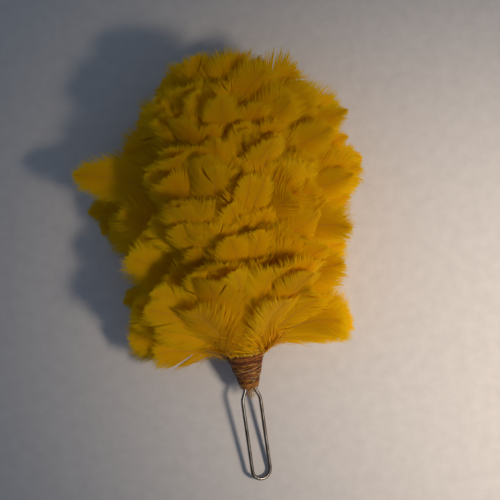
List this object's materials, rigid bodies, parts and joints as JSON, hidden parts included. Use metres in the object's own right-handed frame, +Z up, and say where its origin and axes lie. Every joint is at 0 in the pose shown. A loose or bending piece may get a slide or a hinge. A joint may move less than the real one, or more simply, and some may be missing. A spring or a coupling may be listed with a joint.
{
  "type": "feather plume",
  "caption": "Yellow feather plume or hackle with tiers of soft feathers tied to a wire stem, a thread-bound neck and a wire loop to fasten or hang it by.",
  "frame": {"origin": "middle of the underside of the whole plume as it lies on a table", "axes": "+Z up from the table, +Y from the wire loop towards the feather tips, +X to the right seen from above with the tips up"},
  "size_m": [0.0946, 0.1412, 0.0509],
  "materials": {
    "feather": "soft",
    "thread": "matte",
    "cotton_tape": "matte",
    "padding": "matte",
    "steel_wire": "satin"
  },
  "bodies": {
    "root": {"binding_knot": "thread", "centre_band": "thread", "centre_feathers": "feather", "crown_band": "thread", "crown_feathers": "feather", "neck_binding": "thread", "neck_core": "padding", "neck_tier_feathers": "feather", "rim_whipping": "thread", "stem_tape": "cotton_tape", "stem_tier_1_band": "thread", "stem_tier_1_feathers": "feather", "stem_tier_2_band": "thread", "stem_tier_2_feathers": "feather", "stem_tier_3_band": "thread", "stem_tier_3_feathers": "feather", "stem_tier_4_band": "thread", "stem_tier_4_feathers": "feather", "stem_tier_5_band": "thread", "stem_tier_5_feathers": "feather", "stem_tier_6_band": "thread", "stem_tier_6_feathers": "feather", "stem_tier_7_band": "thread", "stem_tier_7_feathers": "feather", "tip_whipping": "thread", "trimmed_quill_ends": "feather", "wire_loop": "steel_wire"}
  },
  "joints": []
}
